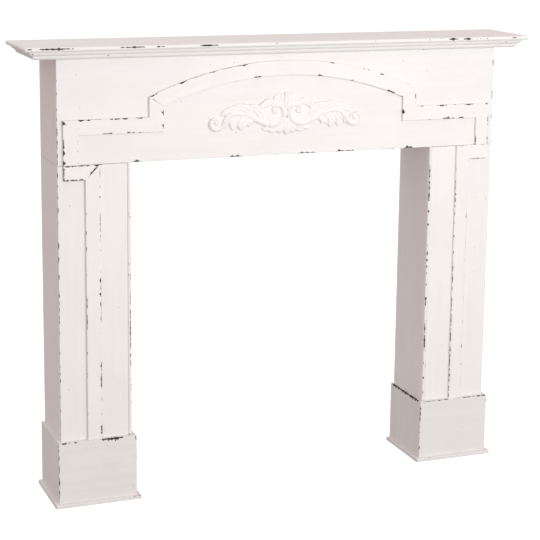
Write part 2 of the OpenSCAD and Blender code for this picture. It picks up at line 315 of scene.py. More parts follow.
# Where paint is gone, for each piece and edge: from, to and half width in millimetres. Seen
# from outside, a board runs to the right or down, and the two risers run up. v0 is the edge
# on the right hand of the run and v1 the one on its left, both measured along the run. s0 and
# s1 are the ends, measured from v0 to v1.
WORN = {
    "header_front": {
        "v0": [
            (166, 188, 5.4), (390, 420, 5.2), (555, 597, 3.0), (648, 668, 4.4), (664, 692, 2.4),
            (776, 792, 2.0), (820, 840, 4.0),
        ],
        "s0": [
            (1, 28, 1.7), (34, 58, 1.2), (64, 84, 1.4), (95, 104, 1.3), (150, 158, 0.9),
            (118, 124, 0.9), (180, 186, 0.8),
        ],
        "s1": [(108, 126, 4.6), (182, 202, 4.8), (58, 70, 2.8), (84, 92, 2.4), (0, 8, 3.0)],
    },
    "upright_strip_left": {
        "v0": [(0, 10, 6.5), (40, 56, 2.6), (50, 60, 4.2), (62, 76, 3.4), (86, 97, 4.4)],
        "v1": [(10, 21, 1.7), (30, 37, 1.5), (54, 64, 2.0)],
    },
    "upright_strip_right": {
        "v1": [(30, 43, 5.4), (44, 60, 1.6), (78, 98, 3.4)],
        "v0": [(45, 59, 3.4), (61, 65, 1.6)],
    },
    "level_strip_left": {
        "v1": [
            (32, 50, 2.6), (46, 66, 3.4), (69, 84, 1.5), (102, 120, 3.2), (114, 128, 2.4),
            (129, 143, 2.6), (160, 184, 2.0),
        ],
        "v0": [(55, 67, 3.4), (68, 77, 3.2), (108, 125, 3.6), (133, 141, 2.0), (152, 158, 1.8)],
    },
    "level_strip_right": {
        "v1": [(9, 22, 1.7), (55, 83, 3.2), (126, 150, 2.6), (182, 188, 2.2), (98, 106, 1.2)],
        "v0": [(66, 74, 2.2), (104, 134, 4.2), (145, 158, 3.6)],
    },
    "riser_strip_left": {"v0": [(6, 17, 4.6), (36, 48, 4.4)]},
    "riser_strip_right": {"v1": [(16, 29, 4.4)], "v0": [(14, 30, 3.0), (6, 10, 1.6)]},
    "arch_strip": {
        "v1": [
            (2, 20, 2.8), (70, 92, 2.5), (105, 134, 0.9), (145, 165, 1.6), (174, 212, 0.9),
            (212, 238, 2.2), (434, 447, 2.8), (518, 523, 2.0), (529, 535, 2.2), (562, 573, 3.0),
            (604, 612, 0.9), (634, 646, 0.8),
        ],
        "v0": [
            (216, 234, 3.4), (367, 384, 3.6), (451, 458, 2.8), (546, 566, 3.8), (584, 590, 2.4),
            (96, 99, 1.4),
        ],
    },
    "cap_strip_left": {
        "v1": [(0, 30, 3.2), (24, 58, 2.6), (66, 81, 3.0)],
        "v0": [(0, 26, 4.0), (20, 48, 3.6)],
        "s0": [(0, 20, 3.0), (16, 33, 3.4)],
        "s1": [(14, 40, 3.2)],
    },
    "cap_strip_right": {"v0": [(2, 47, 1.6)], "v1": [(4, 20, 0.9)]},
    "long_strip_left": {
        "v1": [
            (6, 28, 1.8), (44, 51, 2.0), (68, 74, 2.1), (106, 148, 2.6), (150, 172, 1.5),
            (186, 190, 1.3), (248, 262, 3.4), (262, 284, 1.8), (280, 294, 3.4), (296, 322, 2.5),
            (324, 352, 1.6), (438, 462, 2.6), (464, 503, 3.0), (520, 530, 1.2), (584, 607, 4.2),
            (556, 562, 1.3),
        ],
        "v0": [
            (111, 119, 1.9), (146, 157, 2.1), (207, 212, 1.6), (255, 285, 1.5), (291, 333, 1.5),
            (381, 387, 1.8), (430, 434, 1.2),
        ],
    },
    "long_strip_right": {
        "v0": [
            (76, 108, 1.1), (111, 118, 1.9), (122, 133, 2.0), (141, 147, 2.1), (160, 164, 1.2),
            (180, 186, 1.3), (212, 219, 2.2), (252, 258, 1.9), (278, 304, 1.6), (306, 332, 1.5),
            (336, 352, 1.2), (362, 400, 1.5), (404, 436, 1.9), (440, 480, 1.7), (484, 530, 1.9),
            (526, 578, 2.0), (584, 598, 1.8), (602, 614, 1.8),
        ],
        "v1": [
            (124, 144, 2.6), (150, 240, 0.9), (250, 380, 0.7), (392, 400, 2.8), (410, 450, 0.7),
            (452, 460, 2.8), (498, 504, 2.0), (510, 570, 0.6),
        ],
    },
    "leg_front_left": {
        "v0": [
            (12, 26, 1.1), (40, 46, 1.0), (62, 66, 0.8), (89, 102, 1.4), (120, 126, 0.9),
            (164, 181, 1.6), (195, 212, 1.6), (235, 250, 1.4), (272, 290, 1.3), (294, 323, 1.3),
            (340, 346, 1.0), (360, 372, 1.2), (408, 416, 1.2), (440, 444, 0.9), (470, 480, 1.1),
            (510, 514, 0.8), (540, 550, 1.1), (576, 580, 0.9),
        ],
    },
    "leg_front_right": {
        "v1": [
            (60, 68, 1.1), (130, 134, 0.8), (220, 228, 1.1), (300, 304, 0.9), (330, 340, 1.2),
            (362, 368, 1.2), (400, 410, 1.3), (436, 442, 1.1),
        ],
    },
    "bead_left": {
        "v1": [
            (288, 318, 1.3), (322, 350, 1.6), (352, 420, 1.9), (429, 438, 1.9), (442, 457, 2.2),
            (500, 506, 1.5), (250, 254, 1.2), (540, 544, 1.2),
        ],
    },
    "bead_right": {
        "v0": [
            (40, 128, 1.5), (110, 128, 2.2), (150, 155, 2.3), (180, 187, 1.9), (232, 237, 1.7),
            (250, 258, 2.2), (267, 273, 1.8), (282, 288, 2.0), (300, 304, 1.2), (326, 332, 1.5),
            (359, 381, 2.2), (423, 450, 1.7), (452, 492, 2.0), (520, 526, 1.4), (556, 562, 1.4),
        ],
    },
    "plinth_front_left": {
        "v1": [(5, 26, 3.4), (35, 44, 3.0), (97, 124, 3.8), (114, 147, 5.0)],
        "s0": [(118, 139, 1.4), (96, 112, 1.6), (70, 92, 1.5), (40, 62, 1.5), (12, 34, 1.5)],
        "s1": [(126, 139, 2.8), (86, 93, 2.2), (104, 108, 1.2)],
    },
    "plinth_front_right": {
        "v1": [(6, 40, 1.4), (42, 60, 1.8), (62, 78, 1.2), (113, 146, 2.2), (144, 177, 2.6)],
        "s0": [(88, 137, 2.0), (60, 66, 1.2), (22, 29, 2.0)],
        "s1": [(122, 139, 2.4), (103, 110, 2.0), (43, 50, 1.9), (70, 74, 1.2)],
    },
    "plinth_inner_right": {"s0": [(2, 66, 4.4), (50, 112, 5.6), (96, 160, 5.0), (0, 163, 1.6)]},
    "base_plate_left": {"s1": [(0, 8, 3.4)], "v0": [(176, 194, 1.6)]},
    "base_plate_right": {"v0": [(30, 38, 1.2)]},
}
# How common small nicks are along the edges of some pieces, and of all others
NICKS = {
    "leg_front_left": 0.6, "leg_front_right": 0.6, "long_strip_left": 0.5, "long_strip_right": 0.6,
    "plinth_front_left": 0.6, "plinth_front_right": 0.5, "arch_strip": 0.15,
}
USUAL_NICKS = 0.3

# Worn places on the shelf's nose, its second moulding and the cornice: from, to along the
# front and half width
SHELF_WORN = [
    (3, 16, 1.3), (28, 70, 1.5), (54, 88, 2.4), (76, 106, 1.3), (110, 122, 0.7), (205, 262, 1.4),
    (228, 248, 2.2), (285, 304, 1.5), (380, 428, 1.5), (396, 414, 1.9), (983, 1008, 3.3),
    (1021, 1043, 3.2), (1052, 1064, 0.8), (1070, 1086, 0.7), (1146, 1158, 1.3),
]
SECOND_WORN = [(16, 34, 1.2), (52, 56, 0.8), (1130, 1142, 0.9)]
CORNICE_WORN = [(880, 886, 1.2)]

# A worn place's mean share of its half width, and how ragged it is in fine and broad waves
USUAL_SHARE, FINE_SHARE, BROAD_SHARE = 0.76, 0.52, 0.35
# Length of those waves, and of the slow and the quick wave that nicks come from
FINE_WAVE, BROAD_WAVE = 1.8, 7
SLOW_NICKS, QUICK_NICKS = 16, 3.5
# Steps from a place's fine seed to its broad one, and from an edge's seed to its nicks'
BROAD_SEED, NICK_SEED = 50, 900
# Over how many millimetres bare wood turns into sound paint
FADE = 0.7


def wavy(along, seed, size):
    """Smooth random numbers from about -1 to 1, with waves of about the given size."""
    turns = np.random.default_rng(seed).uniform(0, 2 * math.pi, 4)
    rates = np.array([0.53, 1.0, 1.83, 3.1]) * 2 * math.pi / (size * 4)
    waves = [np.sin(along * rate + turn) for rate, turn in zip(rates, turns)]
    return sum(wave / (k + 1.5) for k, wave in enumerate(waves)) / 1.1


def worn_strip(along, off, marks, nicks, seed):
    """How worn the paint is, 0 to 1, at points so far along an edge and so far off it."""
    worn = np.zeros_like(off)
    for number, (start, stop, half_width) in enumerate(marks):
        middle, half = (start + stop) / 2, (stop - start) / 2
        bulge = np.sqrt(np.clip(1 - ((along - middle) / half) ** 2, 0, 1))
        ragged = USUAL_SHARE + FINE_SHARE * wavy(along, seed + number, FINE_WAVE)
        broad = wavy(along, seed + number + BROAD_SEED, BROAD_WAVE)
        ragged = ragged + BROAD_SHARE * broad
        worn = np.maximum(worn, (half_width * bulge * ragged - off) / FADE + 0.5 * (bulge > 0))
    # Nicks come where a slow and a quick wave are both high
    slow = wavy(along, seed + NICK_SEED, SLOW_NICKS)
    quick = wavy(along, seed + NICK_SEED + 1, QUICK_NICKS)
    chance = slow * 0.6 + quick * 0.6
    small = np.clip(chance - (1.02 - 0.75 * nicks), 0, 0.5) * 2.6
    worn = np.maximum(worn, (small - off) / FADE + 0.45 * (small > 0))
    return np.clip(worn, 0, 1)


# ---- Boards ----

# Grid lines beside a soft edge, and the usual spaces between the others: along an edge, across
# a plain front, along a plain board, and down a board's walls
EDGE_LINES = [0.0, 0.35, 0.8, 1.4, 2.2, 3.3, 4.8, 6.8, 9.3]
RUN, COARSE, PLAIN_RUN, WALL_RUN = 2.3, 16.0, 6, 40
# Radius of a board's soft edges, of a base plate's, and of the right leg's rubbed long strip's
ARRIS, PLATE_ARRIS, RUBBED_ARRIS = 0.9, 1.6, 2.2
# Depth of a worn place, and how far off an edge and behind the front face it can reach
CHIP_DEPTH = 0.45
WEAR_REACH, WEAR_DEPTH = 40, 12
# Points that stand for a board's long edge and its end when wear is measured along them
LONG_POINTS, END_POINTS = 61, 13
# Steps between the seeds of one board's edges
EDGE_SEEDS = 37
# Edges that turn by more than this are shaded as sharp, in degrees
SHARP = 40


def grid_lines(length, run, soft_low, soft_high):
    """Grid lines across a length: close together by a soft end, and run apart between."""
    low = EDGE_LINES if soft_low else [0.0]
    high = EDGE_LINES if soft_high else [0.0]
    keep = (length - 0.3) / 2 if soft_low and soft_high else length - 0.3
    low = [v for v in low if v <= keep]
    high = [v for v in high if v <= keep]
    count = max(1, round((length - low[-1] - high[-1]) / run))
    middle = np.linspace(low[-1], length - high[-1], count + 1)[1:-1]
    return np.array([*low, *middle, *[length - v for v in reversed(high)]])


def block_surface(s_lines, v_lines, w_lines):
    """Points and faces of a block without lines on its back: a front grid and four walls."""
    ns, nv, nw = len(s_lines), len(v_lines), len(w_lines)
    rim = [(i, 0) for i in range(ns - 1)] + [(ns - 1, j) for j in range(nv - 1)]
    rim += [(i, nv - 1) for i in range(ns - 1, 0, -1)] + [(0, j) for j in range(nv - 1, 0, -1)]
    rim = np.array(rim)
    count = len(rim)
    s, v = s_lines[rim[:, 0]], v_lines[rim[:, 1]]
    walls = [np.stack([s, v, np.full(count, w)], 1) for w in w_lines[:-1]]
    grid_s, grid_v = np.meshgrid(s_lines, v_lines, indexing="ij")
    front = np.stack([grid_s, grid_v, np.full_like(grid_s, w_lines[-1])], 2).reshape(-1, 3)
    points = np.concatenate([*walls, front])
    rings = [np.arange(count) + k * count for k in range(nw - 1)]
    first = (nw - 1) * count
    rings.append(first + rim[:, 0] * nv + rim[:, 1])
    faces = [rings[0][::-1].tolist()]
    for low, high in zip(rings, rings[1:]):
        faces += np.stack([low, np.roll(low, -1), np.roll(high, -1), high], 1).tolist()
    i, j = (a.reshape(-1) for a in np.meshgrid(range(ns - 1), range(nv - 1), indexing="ij"))
    a = first + i * nv + j
    faces += np.stack([a, a + nv, a + nv + 1, a + 1], 1).tolist()
    return points, faces


def tube_faces(count, per_ring):
    """Faces of a tube of count closed rings, and of its two ends."""
    faces = []
    for k in range(count - 1):
        a, b = k * per_ring, (k + 1) * per_ring
        for j in range(per_ring):
            after = (j + 1) % per_ring
            faces.append([a + j, b + j, b + after, a + after])
    end = (count - 1) * per_ring
    faces += [list(range(per_ring)), list(range(end + per_ring - 1, end - 1, -1))]
    return faces


def add_piece(name, points, faces, board, worn, slot, nodes):
    """A smooth-shaded piece that stands for CAD nodes, in the paint that its slot names."""
    mesh = bpy.data.meshes.new(name)
    mesh.from_pydata(points.tolist(), [], faces)
    mesh.attributes.new("board", "FLOAT_VECTOR", "POINT").data.foreach_set("vector", board.ravel())
    mesh.attributes.new("worn", "FLOAT", "POINT").data.foreach_set("value", worn)
    mesh.polygons.foreach_set("use_smooth", [True] * len(mesh.polygons))
    mesh.set_sharp_from_angle(angle=math.radians(SHARP))
    mesh.materials.append(PAINTED[slot])
    piece = bpy.data.objects.new(name, mesh)
    bpy.context.collection.objects.link(piece)
    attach(piece, BODY)
    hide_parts(*nodes)


def beside(points, line):
    """How far along a line of points each point lies, and how far off it."""
    steps = np.linalg.norm(np.diff(line, axis=0), axis=1)
    walked = np.concatenate([[0], np.cumsum(steps)])
    ahead = np.gradient(line, axis=0)
    ahead /= np.linalg.norm(ahead, axis=1)[:, None]
    near = np.linalg.norm(points[:, None] - line[None], axis=2).argmin(axis=1)
    gap = points - line[near]
    forward = (gap * ahead[near]).sum(axis=1)
    off = np.linalg.norm(gap - forward[:, None] * ahead[near], axis=1)
    return walked[near] + forward, off


def seed_of(name):
    return sum((k + 1) * ord(letter) for k, letter in enumerate(name)) % 9973


def paint_shift(name):
    """A step in the paint's patterns, in metres, so that no two pieces are alike."""
    return (seed_of(name) % 89) * 0.37


def edge_wear(node_name, points, size, place, soft):
    """How worn each point of a board is, by its soft edges' marks and nicks."""
    length, width, depth = size
    s, v, w = points.T
    marks = WORN.get(node_name, {})
    nicks = NICKS.get(node_name, USUAL_NICKS)
    placed = place(s, v, w) / MM
    run_s, run_v = np.linspace(0, length, LONG_POINTS), np.linspace(0, width, END_POINTS)
    edges = {"v0": (v, run_s, 0 * run_s), "v1": (width - v, run_s, 0 * run_s + width),
             "s0": (s, 0 * run_v, run_v), "s1": (length - s, 0 * run_v + length, run_v)}
    worn = np.zeros(len(points))
    for number, (edge, (away, line_s, line_v)) in enumerate(edges.items()):
        if edge in soft:
            close = np.flatnonzero((away < WEAR_REACH) & (depth - w < WEAR_DEPTH))
            line = place(line_s, line_v, 0 * line_s + depth) / MM
            along, off = beside(placed[close], line)
            seed = seed_of(node_name) + EDGE_SEEDS * number
            wear = worn_strip(along, off, marks.get(edge, []), nicks, seed)
            worn[close] = np.maximum(worn[close], wear)
    return worn


def softened(points, size, soft, arris, worn):
    """A block's points with its soft edges rounded, and sunk a little where they are worn.

    Each point goes out from an inner block by the arris radius.
    """
    low = np.array([arris * ("s0" in soft), arris * ("v0" in soft), 0])
    high = np.array(size) - (arris * ("s1" in soft), arris * ("v1" in soft), arris)
    inner = np.clip(points, low, high)
    out = points - inner
    reach = np.linalg.norm(out, axis=1)
    flat = np.abs(out).max(axis=1)
    out = out / np.maximum(reach, 1e-9)[:, None]
    return inner + out * (flat - CHIP_DEPTH * worn)[:, None]


def plank(node_name, size, place, slot, soft=("s0", "s1", "v0", "v1"), fine_across=False,
          run=RUN, arris=ARRIS):
    """A board of size (length, width, thickness) with soft front edges, set by place(s, v, w)."""
    length, width, depth = size
    s_lines = grid_lines(length, run, "s0" in soft, "s1" in soft)
    v_lines = grid_lines(width, run if fine_across else COARSE, "v0" in soft, "v1" in soft)
    w_lines = grid_lines(depth, WALL_RUN, False, True)
    points, faces = block_surface(s_lines, v_lines, w_lines)
    worn = edge_wear(node_name, points, size, place, soft)
    shaped = place(*softened(points, size, soft, arris, worn).T)
    board = points * MM + paint_shift(node_name)
    add_piece(node_name + "_piece", shaped, faces, board, worn, slot, [node_name])


def box_mm(node_name):
    low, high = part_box(node_name)
    return np.array(low) / MM, np.array(high) / MM


AXES = {"x": np.array([1.0, 0, 0]), "y": np.array([0, 1.0, 0]), "z": np.array([0, 0, 1.0])}


def axis_of(name):
    """The direction that a name like "-z" gives."""
    return AXES[name[1]] * (1 if name[0] == "+" else -1)


def board_on(node_name, outward, along, slot, trim=None, **options):
    """A board on the place of a CAD node. outward is its finished side, along its run."""
    low, high = box_mm(node_name)
    if trim:
        low, high = trim(low, high)
    face, run = axis_of(outward), axis_of(along)
    across = np.cross(face, run)
    # The back corner: the board's own depth runs outward from it
    corner = np.zeros(3)
    for axis in (face, run, across):
        corner += np.where(axis > 0, low, 0) + np.where(axis < 0, high, 0)
    size = [abs(float(axis @ (high - low))) for axis in (run, across, face)]

    def place(s, v, w):
        return (corner + np.outer(s, run) + np.outer(v, across) + np.outer(w, face)) * MM

    plank(node_name, size, place, slot, **options)


# ---- Raised strips ----

# How far a tucked strip runs under its neighbours, and how much lower it lies
TUCK, TUCK_DOWN = 0.4, 0.05


def mitred_strip(node_name, near, far, base_y, thickness, slot, tucked=False, **options):
    """A raised strip between two edge lines, each given by its two ends in X and Z.

    A tucked strip runs a little way under the strips that it meets, so that no gap shows.
    """
    near, far = np.array(near, float), np.array(far, float)
    if tucked:
        run = (near[1] - near[0]) / np.linalg.norm(near[1] - near[0])
        near, far = near + np.outer([-TUCK, TUCK], run), far + np.outer([-TUCK, TUCK], run)
        thickness -= TUCK_DOWN
    doubled = np.linalg.norm(near + far - np.roll(near, 1, 0) - np.roll(far, 1, 0), axis=1)[0]
    length = float(doubled) / 2
    area = abs(np.cross(near[1] - near[0], far[0] - near[0]))
    width = float(area / np.linalg.norm(near[1] - near[0]))

    def place(s, v, w):
        t, q = (s / length)[:, None], (v / width)[:, None]
        xz = (near[0] + (near[1] - near[0]) * t) * (1 - q) + (far[0] + (far[1] - far[0]) * t) * q
        return np.stack([xz[:, 0], base_y - w, xz[:, 1]], 1) * MM

    plank(node_name, (length, width, thickness), place, slot, **options)


def add_header_strips():
    base_y = box_mm("header_front")[0][1]
    depth = base_y - box_mm("arch_strip")[0][1]
    common = (base_y, depth, "strip_paint")
    sides = ("v0", "v1")
    up_low, up_high = box_mm("upright_strip_right")
    level_low, level_high = box_mm("level_strip_right")
    rise_low, rise_high = box_mm("riser_strip_right")
    arch_low, arch_high = box_mm("arch_strip")
    width = up_high[0] - up_low[0]
    spring, shoulder = arch_low[2], rise_high[2]
    bottom, top, low = up_low[2], level_high[2], level_low[2]
    for side, sign in (("left", -1), ("right", 1)):
        outer, inner = sign * up_high[0], sign * up_low[0]
        far_x, near_x = sign * rise_high[0], sign * rise_low[0]
        upright = [[(outer, top), (outer, bottom)], [(inner, low), (inner, bottom)]]
        level = [[(near_x, low), (inner, low)], [(far_x, top), (outer, top)]]
        riser = [[(near_x, low), (near_x, spring)], [(far_x, top), (far_x, shoulder)]]
        # The right side is the left one seen in a mirror, so its lines change places
        if side == "left":
            level = [line[::-1] for line in level]
        else:
            upright, riser = upright[::-1], riser[::-1]
        mitred_strip("upright_strip_" + side, *upright, *common, soft=("s1", *sides))
        mitred_strip("level_strip_" + side, *level, *common, soft=sides, tucked=True)
        mitred_strip("riser_strip_" + side, *riser, *common, soft=sides)
    add_arch(width, rise_low[0], spring, arch_high[2] - width, *common)


def add_arch(width, half_chord, spring, crown, base_y, depth, slot):
    rise = crown - spring
    inner_r = (half_chord ** 2 + rise ** 2) / (2 * rise)
    centre_z = crown - inner_r
    outer_r = inner_r + width
    inner_turn = math.asin(half_chord / inner_r)
    outer_turn = math.asin((half_chord + width) / outer_r)
    length = inner_turn * inner_r + outer_turn * outer_r

    def place(s, v, w):
        turn = (2 * s / length - 1) * (inner_turn + (outer_turn - inner_turn) * v / width)
        radius = inner_r + v
        x, z = radius * np.sin(turn), centre_z + radius * np.cos(turn)
        return np.stack([x, base_y - w, z], 1) * MM

    plank("arch_strip", (length, width, depth), place, slot, soft=("s0", "v0", "v1"))


def add_leg_strips():
    base_y = box_mm("leg_front_left")[0][1]
    cap_low, cap_high = box_mm("cap_strip_right")
    long_low, long_high = box_mm("long_strip_right")
    common = (base_y, base_y - cap_low[1], "strip_paint")
    top, under, foot = cap_high[2], cap_low[2], long_low[2]
    outer, strip_out, strip_in = cap_high[0], long_high[0], long_low[0]
    cap = [(-outer, under), (-strip_out, under)], [(-outer, top), (-strip_in, top)]
    mitred_strip("cap_strip_left", *cap, *common, fine_across=True)
    cap = [(strip_out, under), (outer, under)], [(strip_in, top), (outer, top)]
    mitred_strip("cap_strip_right", *cap, *common, fine_across=True, soft=("s1", "v0", "v1"),
                 tucked=True)
    long = [(-strip_out, under), (-strip_out, foot)], [(-strip_in, top), (-strip_in, foot)]
    mitred_strip("long_strip_left", *long, *common, soft=("s0", "v0", "v1"))
    long = [(strip_in, top), (strip_in, foot)], [(strip_out, under), (strip_out, foot)]
    mitred_strip("long_strip_right", *long, *common, soft=("v0", "v1"), arris=RUBBED_ARRIS)


# ---- Boxes of boards ----

# The fine gap between each leg and the header, in mm
SEAM = 0.7


def below_seam(low, high):
    return low, high - np.array([0, 0, SEAM])


def outer_and_inner(side):
    return ("-x", "+x") if side == "left" else ("+x", "-x")


def add_header_boards():
    board_on("header_front", "-y", "+x", "front_paint", fine_across=True)
    board_on("header_side_left", "-x", "-z", "side_paint", soft=(), run=PLAIN_RUN)
    board_on("header_side_right", "+x", "-z", "side_paint", soft=(), run=PLAIN_RUN)
    board_on("header_bottom", "-z", "+x", "side_paint", soft=(), run=2 * PLAIN_RUN)


def add_leg_boards(side):
    bead_low, bead_high = box_mm("bead_" + side)

    def beside_bead(low, high):
        low, high = below_seam(low, high)
        if side == "left":
            high = np.array([bead_low[0], high[1], high[2]])
        else:
            low = np.array([bead_high[0], low[1], low[2]])
        return low, high

    outer, inner = outer_and_inner(side)
    corner = "v0" if side == "left" else "v1"
    board_on("leg_front_" + side, "-y", "-z", "front_paint", trim=beside_bead,
             soft=("s0", corner))
    plain = {"slot": "side_paint", "trim": below_seam, "soft": (), "run": PLAIN_RUN}
    board_on("leg_outer_" + side, outer, "-z", **plain)
    board_on("leg_inner_" + side, inner, "-z", **plain)


def add_plinth(side):
    outer, inner = outer_and_inner(side)
    fine = {"slot": "foot_paint", "fine_across": True}
    board_on("plinth_front_" + side, "-y", "+x", soft=("s0", "s1", "v1"), **fine)
    board_on("plinth_outer_" + side, outer, "-z", soft=("s0",), **fine)
    board_on("plinth_inner_" + side, inner, "-z", soft=("s0",), **fine)
    board_on("base_plate_" + side, "+z", "+x", soft=("s0", "s1", "v0"), arris=PLATE_ARRIS, **fine)


# ---- Beads ----

BEAD_STEPS = 18
# Depth of a bead's worn places, its nicks, and the angles of its two lines of wear
BEAD_CHIP, BEAD_NICKS = 0.35, 0.35
BEAD_LINES = {"v0": 60, "v1": 125}
# The ends are domed over this length, down to this share of the radius
DOME_LENGTH, DOME_SHARE = 2.5, 0.65


def bead_wear(name, radius, s, x, y):
    worn = np.zeros(len(s))
    for number, (edge, degrees) in enumerate(BEAD_LINES.items()):
        turn = math.radians(degrees)
        off = np.hypot(x + radius * math.cos(turn), y + radius * math.sin(turn))
        seed = seed_of(name) + EDGE_SEEDS * number
        wear = worn_strip(s, off, WORN[name].get(edge, []), BEAD_NICKS, seed)
        worn = np.maximum(worn, wear)
    return worn


def add_bead(side):
    """A half-round rod standing on the plinth, with its flat back against the boards."""
    name = "bead_" + side
    low, high = box_mm(name)
    radius = (high[0] - low[0]) / 2
    centre_x, centre_y = (low[0] + high[0]) / 2, low[1] + radius
    length, back = high[2] - low[2], high[1] - centre_y
    drops = grid_lines(length, RUN, True, True)
    turns = np.linspace(0, math.pi, BEAD_STEPS + 1)
    ring_x = np.concatenate([[-radius], -radius * np.cos(turns), [radius]])
    ring_y = np.concatenate([[back], -radius * np.sin(turns), [back]])
    s = np.repeat(drops, len(ring_x))
    x, y = np.tile(ring_x, len(drops)), np.tile(ring_y, len(drops))
    rim = 1 - np.minimum(np.minimum(s, length - s), DOME_LENGTH) / DOME_LENGTH
    share = np.sqrt(np.clip(1 - rim ** 2, 0, 1)) * (1 - DOME_SHARE) + DOME_SHARE
    worn = bead_wear(name, radius, s, x, y)
    board = np.stack([s, x, y], 1) * MM + paint_shift(name)
    pull = np.where(y < back, share - BEAD_CHIP * worn / radius, 1)
    x, y = centre_x + x * pull, centre_y + y * np.where(y < 0, pull, 1)
    points = np.stack([x, y, high[2] - s], 1) * MM
    faces = tube_faces(len(drops), len(ring_x))
    add_piece(name + "_piece", points, faces, board, worn, "front_paint", [name])


# ---- Shelf and cornice ----

CORNER_STEPS = 6
# Space between points along a moulded board's sides
SIDE_RUN = 4
# Nicks along the front's lines and along the sides'
FRONT_NICKS, SIDE_NICKS = 0.15, 0.35
# Steps between the seeds of a moulding's lines, and from a line's front to its sides
LINE_SEEDS, SIDE_SEEDS = 40, 7
# A step in the paint's patterns across a moulded board's flat top, in metres
TOP_SHIFT = 3.1
# Steps in the shelf's nose and in the smaller mouldings, and the boards' corner radii
NOSE_STEPS, ROUND_STEPS = 14, 8
SHELF_CORNER, CORNICE_CORNER = 5.0, 3.0


def quarter(centre, radius, start, stop, steps):
    """Points of an arc in (stand back, height), by angle from straight out."""
    turns = np.radians(np.linspace(start, stop, steps + 1))
    return [(centre[0] - radius * math.cos(a), centre[1] + radius * math.sin(a)) for a in turns]


def around_front(half, front, back, inset, corner_r):
    """X and Y from the back left, round the two front corners, to the back right."""
    reach, edge = half - inset, front + inset
    start = edge + corner_r
    sides = np.linspace(0, 1, max(2, round((back - front) / SIDE_RUN)))
    turns = np.radians(np.linspace(0, 90, CORNER_STEPS + 1))[1:-1]
    left = [(-reach, back + (start - back) * t) for t in sides]
    left += [(-reach + corner_r - corner_r * math.cos(a), start - corner_r * math.sin(a))
             for a in turns]
    along = np.linspace(-reach + corner_r, reach - corner_r, round(2 * half / RUN))
    return np.array(left + [(x, edge) for x in along] + [(-x, y) for x, y in reversed(left)])


def ring_wear(marks, walked, along, distance, on_front, seed):
    """How worn one ring of a moulding is, by its marks on the front and nicks on the sides."""
    worn = np.zeros(len(along))
    for number, (line, places) in enumerate(marks):
        off = np.full(len(along), abs(walked - line))
        line_seed = seed + LINE_SEEDS * number
        front = worn_strip(along, off, places, FRONT_NICKS, line_seed)
        sides = worn_strip(distance, off, [], SIDE_NICKS, line_seed + SIDE_SEEDS)
        worn = np.maximum(worn, np.where(on_front, front, sides))
    return worn


def open_tube_faces(count, per_ring):
    """Faces between count open rings, and the faces that close the top, bottom and back."""
    faces = []
    for k in range(count - 1):
        a = k * per_ring + np.arange(per_ring - 1)
        b = a + per_ring
        faces += np.stack([a, b, b + 1, a + 1], 1).tolist()
    last = (count - 1) * per_ring
    faces.append(list(range(per_ring)))
    faces.append(list(range(last + per_ring - 1, last - 1, -1)))
    starts = [k * per_ring for k in range(count)]
    ends = [k * per_ring + per_ring - 1 for k in range(count)]
    faces.append(ends + starts[::-1])
    return faces


def moulded_board(node_name, profile, corner_r, marks, slot):
    """A board whose front and side edges follow a profile of (stand back, height) points.

    marks gives lines of wear: how far down the profile each one lies, and its worn places.
    """
    low, high = box_mm(node_name)
    centre_x, half = (low[0] + high[0]) / 2, (high[0] - low[0]) / 2
    points, worn, board, walked = [], [], [], 0
    for k, (inset, height) in enumerate(profile):
        if k:
            walked += math.dist(profile[k], profile[k - 1])
        ring = around_front(half, low[1], high[1], inset, corner_r)
        distance = np.concatenate([[0], np.cumsum(np.hypot(*np.diff(ring, axis=0).T))])
        on_front = np.abs(ring[:, 1] - (low[1] + inset)) < corner_r
        per_ring = len(ring)
        heights = np.full(per_ring, height)
        points.append(np.column_stack([ring[:, 0] + centre_x, ring[:, 1], heights]))
        along = ring[:, 0] + half
        worn.append(ring_wear(marks, walked, along, distance, on_front, seed_of(node_name)))
        board.append(np.column_stack([distance, np.full(per_ring, walked), np.zeros(per_ring)]))
    faces = open_tube_faces(len(profile), per_ring)
    points, worn = np.concatenate(points) * MM, np.concatenate(worn)
    board = np.concatenate(board) * MM + paint_shift(node_name)
    # Across the flat top the brush marks run along X
    board[:per_ring] = points[:per_ring] + TOP_SHIFT
    add_piece(node_name + "_piece", points, faces, board, worn, slot, [node_name])


def add_shelf():
    low, high = box_mm("shelf_board")
    nose_r = (high[2] - low[2]) / 4
    # The top's flat part that belongs to the profile, and the second moulding's sizes
    flat = 9.0
    second_top = high[2] - 2 * nose_r
    second_back, second_r, quirk = 12.0, 8.0, 0.35
    profile = [(nose_r + flat, high[2]), (nose_r + flat / 3, high[2])]
    profile += quarter((nose_r, high[2] - nose_r), nose_r, 90, -90, NOSE_STEPS)
    profile += [(second_back + quirk, second_top), (second_back + quirk, second_top - 0.5),
                (second_back, second_top - 0.8)]
    profile += quarter((second_back + second_r, low[2] + second_r), second_r, 0, -90, ROUND_STEPS)
    profile += [(second_back + second_r + 4, low[2])]
    # The nose is worn 72 degrees round from its top, and the second moulding 22 mm further down
    nose_line = flat + nose_r * math.radians(72)
    marks = [(nose_line, SHELF_WORN), (nose_line + 22, SECOND_WORN)]
    moulded_board("shelf_board", profile, SHELF_CORNER, marks, "front_paint")


def add_cornice():
    low, high = box_mm("cornice_board")
    radius, quirk = 7.5, 0.3
    profile = [(6, high[2]), (quirk, high[2]), (quirk, high[2] - 0.6), (0, high[2] - 1.0)]
    profile += quarter((radius, low[2] + radius), radius, 0, -90, ROUND_STEPS)
    profile += [(radius + 4, low[2])]
    marks = [(8, CORNICE_WORN)]
    moulded_board("cornice_board", profile, CORNICE_CORNER, marks, "front_paint")


# ---- Carving ----

